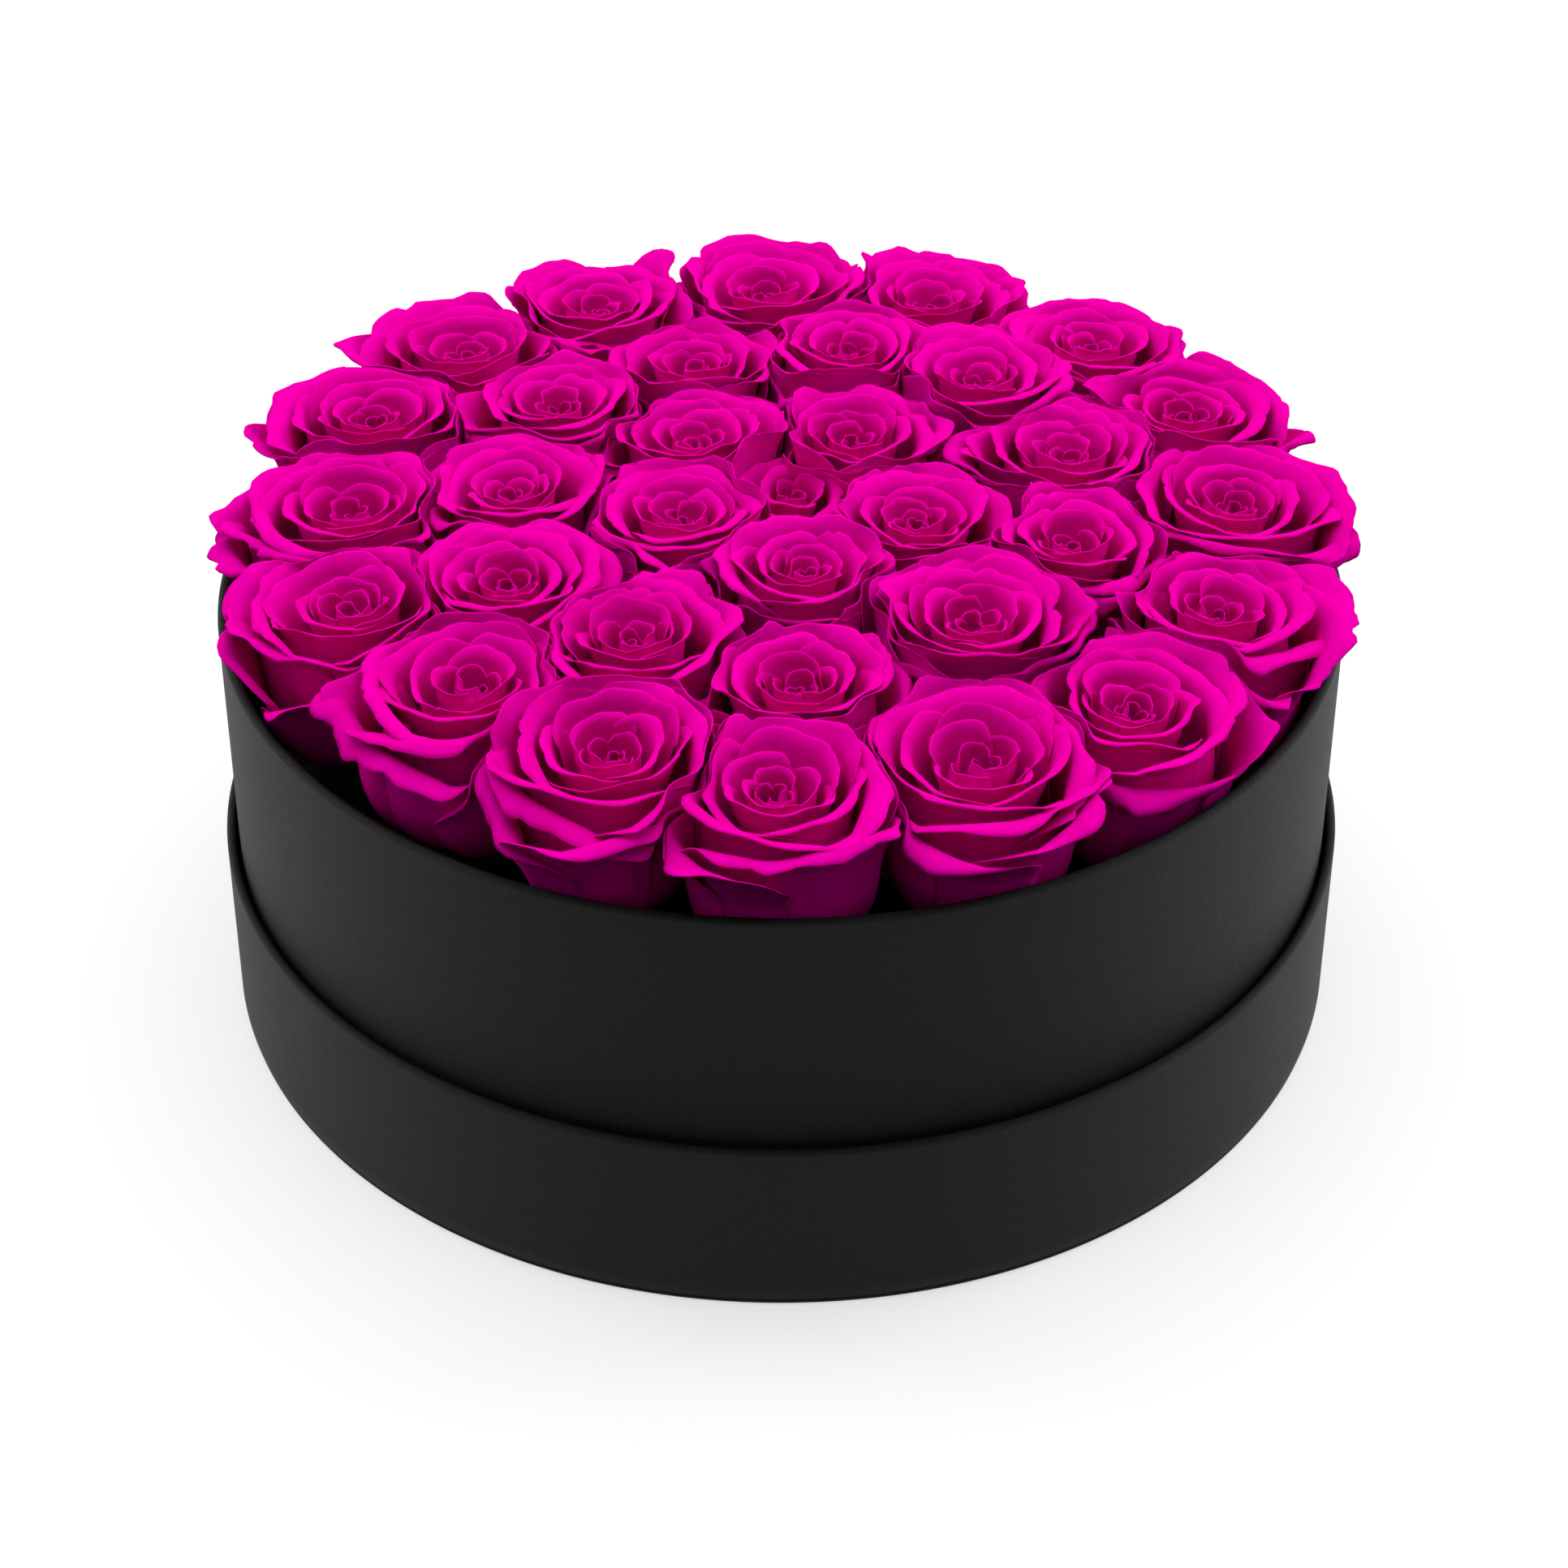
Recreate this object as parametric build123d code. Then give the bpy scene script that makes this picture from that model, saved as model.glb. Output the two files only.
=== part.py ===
"""Round flower box: a papered hat box standing in its own upturned lid, filled with rose heads.

Millimetres, +Z up. The origin is the centre of the lid's outer face, on the surface it stands on.
Three bodies come apart along Z: the lid (a tray under the box), the box, and the arrangement,
which is a disc of dry foam with a stem, a calyx and a bloom for each rose.
"""

from build123d import *

import math
import os

# Papers and boards
paper = 0.3  # embossed covering paper
lining = 0.2  # plain lining paper
seam = 0.2  # bare gap where one paper ends and the next begins

# Lid, upturned: its disc lies on the surface and its rim stands up around the box
lid_radius = 153.5
lid_height = 51.3
lid_wall = 2.5  # rim thickness with paper on both faces
lid_disc = 1.8  # disc thickness with paper on both faces
lid_turn_in = 15.0  # covering paper folded down inside the rim

# Box
box_radius = 150.0
box_top = 121.0  # rim height above the surface
box_wall = 2.8
box_disc = 2.3
box_turn_in = 20.0

# Foam block
foam_radius = 142.0
foam_height = 78.0
bore_clearance = 0.05

# Roses
bloom_length = 50.0  # foot of the bloom to the lip of its petals, along its own axis
foot_radius = 6.0
calyx_length = 6.0
stem_radius = 2.5
stem_depth = 45.0  # stem length below the calyx, most of it in the foam
lean_per_mm = 0.065  # degrees that a rose leans outwards, per mm its foot is from the axis
bloom_gap = 0.3  # left between blooms that press against each other
wall_gap = 1.2  # left between a bloom and the inside of the box

# Each rose's place: distance of its lip from the axis, bearing from +X in degrees,
# height of its lip, and half the width it would open to on its own
OUTER_RING = [
    (124, 91, 145, 27),
    (127, 70, 143, 26),
    (129, 46, 143, 25),
    (127, 25, 144, 27),
    (122, 3, 144, 27),
    (124, 338, 144, 25),
    (123, 316, 142, 27),
    (121, 294, 142, 29),
    (125, 270, 144, 26),
    (119, 249, 147, 27),
    (116, 226, 146, 27),
    (119, 200, 143, 26),
    (117, 178, 144, 27),
    (125, 156, 144, 28),
    (128, 135, 143, 27),
    (127, 115, 144, 23),
]
MIDDLE_RING = [
    (83, 107, 145, 23),
    (84, 77, 149, 26),
    (85, 48, 150, 23),
    (83, 17, 148, 26),
    (81, 345, 150, 23),
    (77, 311, 150, 26),
    (83, 275, 147, 26),
    (75, 242, 148, 24),
    (79, 207, 148, 24),
    (74, 172, 146, 23),
    (84, 140, 147, 25),
]
INNER_RING = [
    (44, 122, 146, 27),
    (43, 61, 147, 25),
    (38, 350, 147, 25),
    (38, 277, 151, 22),
    (28, 197, 149, 26),
]
CENTRE = [(18, 80, 140, 15)]

# Derived sizes
lid_inner = lid_radius - lid_wall
lid_floor = lid_disc + lining  # top of the lining disc, where the box stands
box_inner = box_radius - box_wall
box_floor = lid_floor + box_disc + lining
foam_top = box_floor + foam_height


def section(inner, outer, low, high):
    """Half section of a ring, on the XZ plane."""
    return Pos(inner, low) * Rectangle(outer - inner, high - low, align=(Align.MIN, Align.MIN))


def rounded_section(inner, outer, low, high, top_round):
    """Half section of a ring whose two upper corners are rounded."""
    plain = section(inner, outer, low, high)
    top = plain.vertices().filter_by_position(Axis.Y, high - 0.01, high + 0.01)
    return fillet(top, top_round)


def turned(half_section):
    """Solid of revolution about Z from a half section."""
    return revolve(Plane.XZ * half_section, Axis.Z)


def disc(radius, low, high):
    return Pos(0, 0, low) * Cylinder(radius, high - low, align=(Align.CENTER, Align.CENTER, Align.MIN))


def wall_board(outer, thickness, low, high):
    """Greyboard tube with the rim's upper corners eased."""
    return turned(rounded_section(outer - thickness + paper, outer - paper, low, high - paper, 0.9))


def wall_wrap(outer, thickness, low, high, turn_in):
    """Covering paper: up the outside of the board, over the rim and down inside by turn_in."""
    inner = outer - thickness
    whole = rounded_section(inner, outer, low, high, 0.9 + paper)
    board = rounded_section(inner + paper, outer - paper, low - 1, high - paper, 0.9)
    below = section(inner - 1, inner + paper, low - 1, high - turn_in)
    return turned(whole - board - below)


def lining_wall(inner, low, high):
    """Thin paper glued to the inside of a board tube whose papered face has radius inner."""
    return turned(section(inner + paper - lining, inner + paper, low, high))


def disc_board(radius, low, thickness):
    """Greyboard disc inside its paper, with both edges eased."""
    profile = section(0, radius - paper, low + paper, low + thickness - paper)
    edge = profile.vertices().filter_by_position(Axis.X, radius - paper - 0.01, radius)
    return turned(fillet(edge, 0.4))


def disc_wrap(radius, low, thickness, margin):
    """Covering paper under a disc, round its edge and folded on to its upper face by margin."""
    whole = section(0, radius, low, low + thickness)
    edge = whole.vertices().filter_by_position(Axis.X, radius - 0.01, radius + 0.01)
    core = section(-1, radius - paper, low + paper, low + thickness - paper)
    core_edge = core.vertices().filter_by_position(Axis.X, radius - paper - 0.01, radius)
    window = section(-1, radius - margin, low + thickness - paper, low + thickness + 1)
    return turned(fillet(edge, 0.6) - fillet(core_edge, 0.4) - window)


def rose_axis(place):
    """Foot of the bloom and the direction it points, from the place of its lip."""
    distance, bearing, height, _ = place
    lean = lean_per_mm * distance
    turn = math.radians(bearing)
    outwards = Vector(math.cos(turn), math.sin(turn), 0)
    direction = outwards * math.sin(math.radians(lean)) + Vector(0, 0, math.cos(math.radians(lean)))
    lip = outwards * distance + Vector(0, 0, height)
    return lip - direction * bloom_length, direction


def along(foot, direction, shape):
    """A shape drawn up the Z axis, moved so that it starts at foot and points along direction."""
    return Plane(origin=foot, z_dir=direction).location * shape


def bloom_cup(half_width):
    """Plain outer form of one rose: a narrow foot, a swelling cup and a low crown."""
    length = bloom_length
    foot_line = Polyline((0, 0), (foot_radius, 0), (foot_radius + 3, 4))
    cup = Spline(
        (foot_radius + 3, 4),
        (0.74 * half_width, 0.36 * length),
        (0.93 * half_width, 0.68 * length),
        (half_width, 0.88 * length),
        tangents=[(0.6, 0.8), (0.15, 1)],
    )
    lip = Polyline((half_width, 0.88 * length), (0.86 * half_width, length), (0, length + 1), (0, 0))
    return turned(make_face(foot_line + cup + lip))


def pressed(bloom, place, others):
    """The bloom, flattened where a neighbour or the box wall presses on it."""
    lip = rose_axis(place)[0] + rose_axis(place)[1] * bloom_length
    for other in others:
        other_lip = rose_axis(other)[0] + rose_axis(other)[1] * bloom_length
        apart = Vector(other_lip.X - lip.X, other_lip.Y - lip.Y, 0)
        if apart.length == 0 or apart.length > place[3] + other[3]:
            continue
        share = place[3] / (place[3] + other[3])
        contact = Vector(lip.X, lip.Y, 0) + apart * share - apart.normalized() * (bloom_gap / 2)
        beyond = Plane(origin=contact, z_dir=apart.normalized())
        bloom -= beyond.location * Box(200, 400, 100, align=(Align.CENTER, Align.CENTER, Align.MIN))
    free = disc(box_inner - wall_gap, 0, box_top + 3) + disc(2 * box_radius, box_top + 3, 300)
    return bloom & free


def one_solid(shape):
    """The largest solid of a shape that may have been cut into more."""
    return max(shape.solids(), key=lambda solid: solid.volume)


def calyx():
    """Green base of a rose, with the domed top that the bloom sits on."""
    profile = Polyline(
        (0, 0), (stem_radius, 0), (4.5, 2.2), (foot_radius - 0.4, calyx_length), (0, calyx_length), (0, 0)
    )
    return turned(make_face(profile))


def write(name, shape):
    export_step(shape, f"parts/{name}.step")
    return shape


os.makedirs("parts", exist_ok=True)

# Lid
write("lid_disc_board", disc_board(lid_radius - 0.3, 0, lid_disc))
write("lid_disc_wrap", disc_wrap(lid_radius - 0.3, 0, lid_disc, 12))
write("lid_rim_board", wall_board(lid_radius, lid_wall, lid_disc, lid_height))
write("lid_rim_wrap", wall_wrap(lid_radius, lid_wall, lid_disc + seam, lid_height, lid_turn_in))
lid_lining_top = lid_height - lid_turn_in - seam
write("lid_lining_wall", lining_wall(lid_inner, lid_floor, lid_lining_top))
write("lid_lining_disc", disc(lid_inner + paper, lid_disc, lid_floor))

# Box
box_wall_low = lid_floor + box_disc
write("box_base_board", disc_board(box_radius - 0.3, lid_floor, box_disc))
write("box_base_wrap", disc_wrap(box_radius - 0.3, lid_floor, box_disc, 12))
write("box_wall_board", wall_board(box_radius, box_wall, box_wall_low, box_top))
write("box_wall_wrap", wall_wrap(box_radius, box_wall, box_wall_low + seam, box_top, box_turn_in))
box_lining_top = box_top - box_turn_in - seam
write("box_lining_wall", lining_wall(box_inner, box_floor, box_lining_top))
write("box_lining_floor", disc(box_inner + paper, box_wall_low, box_floor))

# Arrangement: blooms first, because stems and foam follow from their feet
rings = {"outer": OUTER_RING, "middle": MIDDLE_RING, "inner": INNER_RING + CENTRE}
places = OUTER_RING + MIDDLE_RING + INNER_RING + CENTRE
foam = disc(foam_radius, box_floor, foam_top)
for ring, ring_places in rings.items():
    calyxes = []
    stems = []
    for number, place in enumerate(ring_places, start=1):
        foot, direction = rose_axis(place)
        bloom = along(foot, direction, bloom_cup(place[3]))
        name = "rose_centre" if place in CENTRE else f"rose_{ring}_{number:02d}"
        write(name, one_solid(pressed(bloom, place, places)))
        calyx_foot = foot - direction * calyx_length
        stem_foot = calyx_foot - direction * stem_depth
        rod = disc(stem_radius, 0, stem_depth)
        bore = disc(stem_radius + bore_clearance, 0, 2 * stem_depth)
        calyxes.append(along(calyx_foot, direction, calyx()))
        stems.append(along(stem_foot, direction, rod))
        foam -= along(stem_foot, direction, bore)
    write(f"rose_calyxes_{ring}", Compound(children=calyxes))
    write(f"rose_stems_{ring}", Compound(children=stems))
write("foam_block", foam)

print("rim", box_top, "lid", lid_height, "foam top", foam_top, "roses", len(places))
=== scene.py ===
# %% [markdown]
# # A round flower box, packed with roses
#
# A papered hat box stands in its own upturned lid. Inside it, rose heads on short stems are pushed
# into a disc of dry foam, so close together that their petals press on each other. The solid model
# already says where every board, paper, stem and bloom sits. This lesson gives each of them its
# looks: the embossed paper, the crumbly foam, and above all some six hundred separate petals.
#
# Everything is in metres in the frame, but petals are easier to think about in millimetres, so the
# rose functions work in millimetres and `MM` turns their points into metres at the end.

import math

import bmesh
import bpy
import numpy as np
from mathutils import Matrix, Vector


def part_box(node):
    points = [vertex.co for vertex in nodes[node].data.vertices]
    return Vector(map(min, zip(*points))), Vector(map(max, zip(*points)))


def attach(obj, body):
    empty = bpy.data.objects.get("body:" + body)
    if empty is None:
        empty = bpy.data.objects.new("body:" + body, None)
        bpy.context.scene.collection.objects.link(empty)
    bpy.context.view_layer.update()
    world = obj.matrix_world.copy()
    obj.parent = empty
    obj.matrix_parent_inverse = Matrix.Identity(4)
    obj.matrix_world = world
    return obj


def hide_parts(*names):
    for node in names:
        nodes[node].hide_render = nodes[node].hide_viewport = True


MM = 0.001
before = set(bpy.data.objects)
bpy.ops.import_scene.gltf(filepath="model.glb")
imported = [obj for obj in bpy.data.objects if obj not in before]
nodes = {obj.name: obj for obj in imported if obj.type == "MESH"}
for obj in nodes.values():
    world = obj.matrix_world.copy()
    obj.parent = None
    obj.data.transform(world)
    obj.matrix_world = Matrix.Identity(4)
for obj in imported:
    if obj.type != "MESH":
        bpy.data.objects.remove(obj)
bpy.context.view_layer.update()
box_low, box_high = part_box("box_wall_wrap")
lid_low, lid_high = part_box("lid_rim_wrap")

# %% [markdown]
# ## The camera
#
# The box is seen from a little above, so that the blooms open towards the viewer and the front wall
# still shows its full height. A long lens from about a metre away keeps the ellipses of the rims
# calm. The camera stands in front of the box, on -Y, and looks down at a point half way up the wall.

# %% Camera
VIEW_DOWN = math.radians(36.26)
VIEW_DISTANCE = 1.0602
LENS = 87.35
view_point = Vector((0.0008, 0, 0.0517))

camera = bpy.data.objects.new("camera", bpy.data.cameras.new("camera"))
camera.data.lens = LENS
camera.data.sensor_width = 36
camera.location = view_point + VIEW_DISTANCE * Vector((0, -math.cos(VIEW_DOWN), math.sin(VIEW_DOWN)))
camera.rotation_euler = (math.pi / 2 - VIEW_DOWN, 0, 0)
bpy.context.scene.collection.objects.link(camera)
bpy.context.scene.camera = camera
print("camera at", [round(side, 3) for side in camera.location])

# %% [markdown]
# ## Grids into meshes
#
# Nearly every piece here is a surface with rows and columns: a wall is a profile carried round the
# axis, a petal is a sheet with a length and a width. One function numbers the quads of such a grid.
# It also tells each quad's corners which row and column they stand on without wrapping round, so
# that a closed wall has no seam in the mesh, and its pattern still runs on evenly past the join.

# %% Grid helpers
def grid(rows, columns, round_rows=False, round_columns=False):
    """Quads between neighbouring rows and columns, and each corner's own (row, column)."""
    row, column = np.meshgrid(
        np.arange(rows if round_rows else rows - 1),
        np.arange(columns if round_columns else columns - 1),
        indexing="ij",
    )
    row = row.ravel()[:, None] + np.array([0, 0, 1, 1])
    column = column.ravel()[:, None] + np.array([0, 1, 1, 0])
    return (row % rows) * columns + column % columns, np.stack([row, column], -1)


def new_mesh(name, points, quads, uv=None, values=None):
    """A smooth mesh from points in metres, quads, a UV for each quad corner and values for points."""
    mesh = bpy.data.meshes.new(name)
    mesh.vertices.add(len(points))
    mesh.vertices.foreach_set("co", points.astype(np.float32).ravel())
    mesh.loops.add(quads.size)
    mesh.loops.foreach_set("vertex_index", quads.astype(np.int32).ravel())
    mesh.polygons.add(len(quads))
    mesh.polygons.foreach_set("loop_start", np.arange(0, quads.size, 4, dtype=np.int32))
    if uv is not None:
        mesh.uv_layers.new(name="Surface").data.foreach_set("uv", uv.astype(np.float32).ravel())
    for title, value in (values or {}).items():
        attribute = mesh.attributes.new(title, "FLOAT", "POINT")
        attribute.data.foreach_set("value", value.astype(np.float32).ravel())
    mesh.update(calc_edges=True)
    mesh.polygons.foreach_set("use_smooth", np.ones(len(quads), bool))
    return mesh


def close_poles(mesh):
    """Merges the points that lie on each other, as on the axis of a disc, and turns faces outwards."""
    work = bmesh.new()
    work.from_mesh(mesh)
    bmesh.ops.remove_doubles(work, verts=work.verts, dist=1e-7)
    bmesh.ops.recalc_face_normals(work, faces=work.faces)
    work.to_mesh(mesh)
    work.free()


def add_piece(mesh, body, finish, slot, *stands_for):
    """Puts a mesh on show with its finish, riding on a body in place of its CAD nodes."""
    piece = bpy.data.objects.new(mesh.name, mesh)
    bpy.context.scene.collection.objects.link(piece)
    mesh.materials.append(finish)
    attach(piece, body)
    if stands_for:
        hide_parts(*stands_for)
    return piece


print("a sheet of 4 by 5 points has", len(grid(4, 5)[0]), "quads")

# %% [markdown]
# ## Shader maths as arithmetic
#
# A material in Blender is a graph of nodes, and wiring a formula by hand hides what it says. `Wire`
# stands for one socket and overloads `+`, `-`, `*`, `/` and `**`, each adding a Math node, so a
# formula can be read. `Graph` owns the nodes of a material or of the world: its `node` method adds
# any node, sets it up first and then fills its sockets with numbers, colours or wires. `Finish` is
# the graph of one material, built round a Principled shader.

# %% Shader helpers
class Wire:
    """The value at one socket, with arithmetic that adds Math nodes."""

    def __init__(self, graph, socket):
        self.graph = graph
        self.socket = socket

    def maths(self, operation, *values):
        """The result of a Math node that works on these values."""
        return self.graph.node("Math", {"operation": operation}, dict(enumerate(values)))

    def __add__(self, other):
        return self.maths("ADD", self, other)

    def __sub__(self, other):
        return self.maths("SUBTRACT", self, other)

    def __rsub__(self, other):
        return self.maths("SUBTRACT", other, self)

    def __mul__(self, other):
        return self.maths("MULTIPLY", self, other)

    def __truediv__(self, other):
        return self.maths("DIVIDE", self, other)

    def __pow__(self, other):
        return self.maths("POWER", self, other)

    __radd__ = __add__
    __rmul__ = __mul__

    def sine(self):
        return self.maths("SINE", self)

    def part(self, low, high):
        """0 below low, 1 above high and a smooth rise between them."""
        limits = {"Value": self, "From Min": low, "From Max": high}
        return self.graph.node("MapRange", {"interpolation_type": "SMOOTHSTEP"}, limits)


class Graph:
    """The node tree of a material or of the world."""

    def __init__(self, owner):
        owner.use_nodes = True
        self.tree = owner.node_tree

    def node(self, kind, settings=None, inputs=None, output=0):
        """Adds a node: its settings first, then its sockets from numbers, colours or wires."""
        made = self.tree.nodes.new(f"ShaderNode{kind}")
        for name, value in (settings or {}).items():
            if name == "stops":
                self.set_stops(made.color_ramp, value)
            else:
                setattr(made, name, value)
        for name, value in (inputs or {}).items():
            self.fill(made.inputs[name], value)
        return Wire(self, made.outputs[output])

    def set_stops(self, ramp, stops):
        """Gives a colour ramp its (position, colour) stops."""
        while len(ramp.elements) < len(stops):
            ramp.elements.new(0.5)
        for element, (position, colour) in zip(ramp.elements, stops):
            element.position = position
            element.color = (*colour, 1)

    def fill(self, socket, value):
        """Links a wire to a socket, or sets the socket to a number or a colour."""
        if isinstance(value, Wire):
            self.tree.links.new(value.socket, socket)
        elif socket.type == "RGBA":
            socket.default_value = (*value, 1)
        else:
            socket.default_value = value


class Finish(Graph):
    """A material built round one Principled shader."""

    def __init__(self, name, **constants):
        self.material = bpy.data.materials.new(name)
        super().__init__(self.material)
        self.shader = self.tree.nodes["Principled BSDF"]
        self.set(**constants)

    def set(self, **sockets):
        """Fills the shader's sockets: Base_Color stands for Base Color."""
        for name, value in sockets.items():
            self.fill(self.shader.inputs[name.replace("_", " ")], value)

    def place(self):
        """Where a point is on its piece, in metres."""
        return self.node("TexCoord", output="Object")

    def surface(self):
        """The piece's own UV as two wires, across and along."""
        uv = self.node("UVMap", {"uv_map": "Surface"})
        split = self.node("SeparateXYZ", inputs={"Vector": uv})
        return split, Wire(self, split.socket.node.outputs["Y"])

    def noise(self, where, scale, detail=2.0, roughness=0.5):
        """Soft noise about 0.5, with scale as the number of its lumps in a metre."""
        inputs = {"Vector": where, "Scale": scale, "Detail": detail, "Roughness": roughness}
        return self.node("TexNoise", inputs=inputs)

    def blend(self, share, low, high):
        """A colour share of the way from low to high: a Mix node has its colours on 6, 7 and 2."""
        return self.node("Mix", {"data_type": "RGBA"}, {0: share, 6: low, 7: high}, output=2)

    def bump(self, height, distance, strength=1.0, under=None):
        """Bends the normal by a height in metres times distance, on top of another bump if given."""
        inputs = {"Height": height, "Distance": distance, "Strength": strength}
        if under is not None:
            inputs["Normal"] = under
        return self.node("Bump", inputs=inputs)


print("a wire has", len([name for name in vars(Wire) if name.startswith("__r")]), "reflected operators")

# %% [markdown]
# ## Paper and board
#
# The covering paper is black, satin, and embossed with two crossing sets of fine diagonal ridges
# about half a millimetre apart. Two sine waves along the diagonals of the paper's own UV, multiplied,
# give that lattice. UVs in metres keep the pitch the same on the wall and on the lid. The real
# pattern is far from regular, so noise makes it wander, and a fine grain lies over it. A much larger,
# very faint noise stands for the board's unevenness under the paper.

# %% Embossed paper
EMBOSS_PITCH = 0.5 * MM
JITTER = 0.7 * MM  # how far the pattern wanders
DIAGONAL = math.sqrt(0.5)


def embossed_paper():
    """Black paper, a little lighter and glossier on the ridges of its lattice."""
    finish = Finish("embossed_black_paper", Specular_IOR_Level=0.175)
    across, along = finish.surface()
    where = finish.place()
    grain = finish.noise(where, 2600, 2, 0.7)
    mottling = finish.noise(where, 35, 3)
    across = across + finish.noise(where, 800, 2) * JITTER
    along = along + finish.noise(where, 950, 2) * JITTER
    per_ridge = 2 * math.pi / EMBOSS_PITCH * DIAGONAL
    rising = ((across + along) * per_ridge).sine()
    falling = ((across - along) * per_ridge).sine()
    lattice = rising * falling
    shade = lattice.part(-0.9, 0.7) * 0.5 + grain.part(0.3, 0.7) * 0.4 + mottling * 0.1
    finish.set(Base_Color=finish.blend(shade, (0.0012, 0.0012, 0.0013), (0.0038, 0.0038, 0.004)))
    finish.set(Roughness=0.68 - 0.26 * shade)
    board = finish.bump(mottling, 0.00006)
    finish.set(Normal=finish.bump(lattice * 0.5 + grain * 0.5, 0.00015, under=board))
    return finish.material


def lining_paper():
    """Plain black paper with soft fibres."""
    finish = Finish("black_lining_paper", Specular_IOR_Level=0.15)
    fibres = finish.noise(finish.place(), 700, 4, 0.6)
    finish.set(Base_Color=finish.blend(fibres, (0.006, 0.006, 0.006), (0.016, 0.016, 0.016)))
    finish.set(Roughness=0.8 + 0.15 * fibres)
    finish.set(Normal=finish.bump(fibres, 0.00005))
    return finish.material


def greyboard():
    """Grey pulp board with dark specks."""
    finish = Finish("greyboard", Specular_IOR_Level=0.2)
    where = finish.place()
    fibres = finish.noise(where, 450, 6, 0.65)
    specks = finish.noise(where, 1500, 2).part(0.66, 0.72)
    pulp = finish.blend(fibres, (0.22, 0.19, 0.16), (0.36, 0.33, 0.28))
    finish.set(Base_Color=finish.blend(specks, pulp, (0.06, 0.06, 0.07)))
    finish.set(Roughness=0.95 - 0.1 * specks)
    finish.set(Normal=finish.bump(fibres, 0.0002))
    return finish.material


paper = embossed_paper()
lining = lining_paper()
board = greyboard()
print("paper ridges per centimetre", round(0.01 / EMBOSS_PITCH))

# %% [markdown]
# ## The wrapped walls
#
# Box wall and lid rim are the same thing at two sizes: a paper that runs up the outside of a board
# tube, over a softly rounded rim, and a little way down inside, where it ends on the lining. A
# profile of that thin strip, carried round the axis, closes on itself, so the piece has no seam.
# On a real box the paper's end laps over its start. The profile is lifted by one paper thickness
# over a narrow strip at the back, with soft shoulders, which shows as one faint upright line.

# %% Wall papers
PAPER = 0.3 * MM
BOX_WALL = 2.8 * MM
LID_WALL = 2.5 * MM
BOX_TURN_IN = 20 * MM
LID_TURN_IN = 15 * MM
SEGMENTS = 360
WALL_ROWS = 14  # rows of the outside, up to the start of the rim's bend
LAP_BEARING = math.radians(97)
LAP_HALF_WIDTH = 6 * MM


def rim_profile(outer, inner, low, high, turn_in):
    """(radius, height) up the outside, over a round rim of half the wall, down inside and back.

    The way back follows the way there, one paper thickness further in.
    """
    half_wall = (outer - inner) / 2
    middle = (outer + inner) / 2

    def path(inset):
        bend = half_wall - inset
        turn = np.linspace(0, math.pi, 15)
        straight_up = np.linspace(low, high - half_wall, WALL_ROWS)[:-1]
        straight_down = np.linspace(high - half_wall, high - turn_in, 6)[1:]
        radius = [outer - inset + 0 * straight_up, middle + bend * np.cos(turn)]
        radius.append(inner + inset + 0 * straight_down)
        height = [straight_up, high - half_wall + bend * np.sin(turn), straight_down]
        return np.stack([np.concatenate(radius), np.concatenate(height)], -1)

    return np.concatenate([path(0), path(PAPER)[::-1]])


def turned(name, profile, lapped=0, flat_uv=False):
    """A closed profile of (radius, height) carried round the axis; lapped rows bulge at the lap.

    x = (radius + lift) cos(angle), y = (radius + lift) sin(angle), where the lift is one paper
    thickness over the lap and eases to nothing over a millimetre at either side. With flat_uv the
    profile starts and ends on the axis, and its UV is laid out like a flat sheet.
    """
    rows = len(profile)
    angle = np.linspace(0, 2 * math.pi, SEGMENTS, endpoint=False)
    outer = profile[:, 0].max()
    from_lap = np.abs((angle - LAP_BEARING + math.pi) % (2 * math.pi) - math.pi) * outer
    lift = PAPER * np.clip((LAP_HALF_WIDTH - from_lap) / MM, 0, 1)
    lifted = (np.arange(rows) < lapped)[:, None] * lift
    radius = profile[:, :1] + lifted
    points = np.stack([radius * np.cos(angle), radius * np.sin(angle), profile[:, 1:] + 0 * radius], -1)
    quads, corner = grid(rows, SEGMENTS, round_rows=not flat_uv, round_columns=True)
    steps = np.linalg.norm(np.diff(profile, axis=0, append=profile[:1]), axis=1)
    along = np.concatenate([[0], np.cumsum(steps)])[corner[..., 0]]
    around = corner[..., 1] * 2 * math.pi / SEGMENTS
    uv = np.stack([around * outer, along], -1)
    if flat_uv:
        uv = along[..., None] * np.stack([np.cos(around), np.sin(around)], -1)
    mesh = new_mesh(name, points.reshape(-1, 3), quads, uv)
    close_poles(mesh)
    return mesh


def wrapped_wall(name, node, body, wall, turn_in):
    """A wall paper between the radii and heights of its CAD node."""
    low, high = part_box(node)
    mesh = turned(name, rim_profile(high.x, high.x - wall, low.z, high.z, turn_in), lapped=WALL_ROWS)
    print(name, "faces", len(mesh.polygons))
    return add_piece(mesh, body, paper, "embossed_paper", node)


wrapped_wall("box_wall_paper", "box_wall_wrap", "box", BOX_WALL, BOX_TURN_IN)
wrapped_wall("lid_rim_paper", "lid_rim_wrap", "lid", LID_WALL, LID_TURN_IN)

# %% [markdown]
# ## The wrapped discs
#
# The discs of the lid and of the box are boards too, with the same paper under them, round their
# edge and folded on to the upper face. The lid's disc is what the whole box stands on, and its edge
# shows as a thin line under the rim. Its profile starts and ends on the axis, so the two poles are
# merged, and its UV is laid out flat, as the sheet of paper was.

# %% Disc papers
DISC_TURN_IN = 12 * MM


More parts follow.
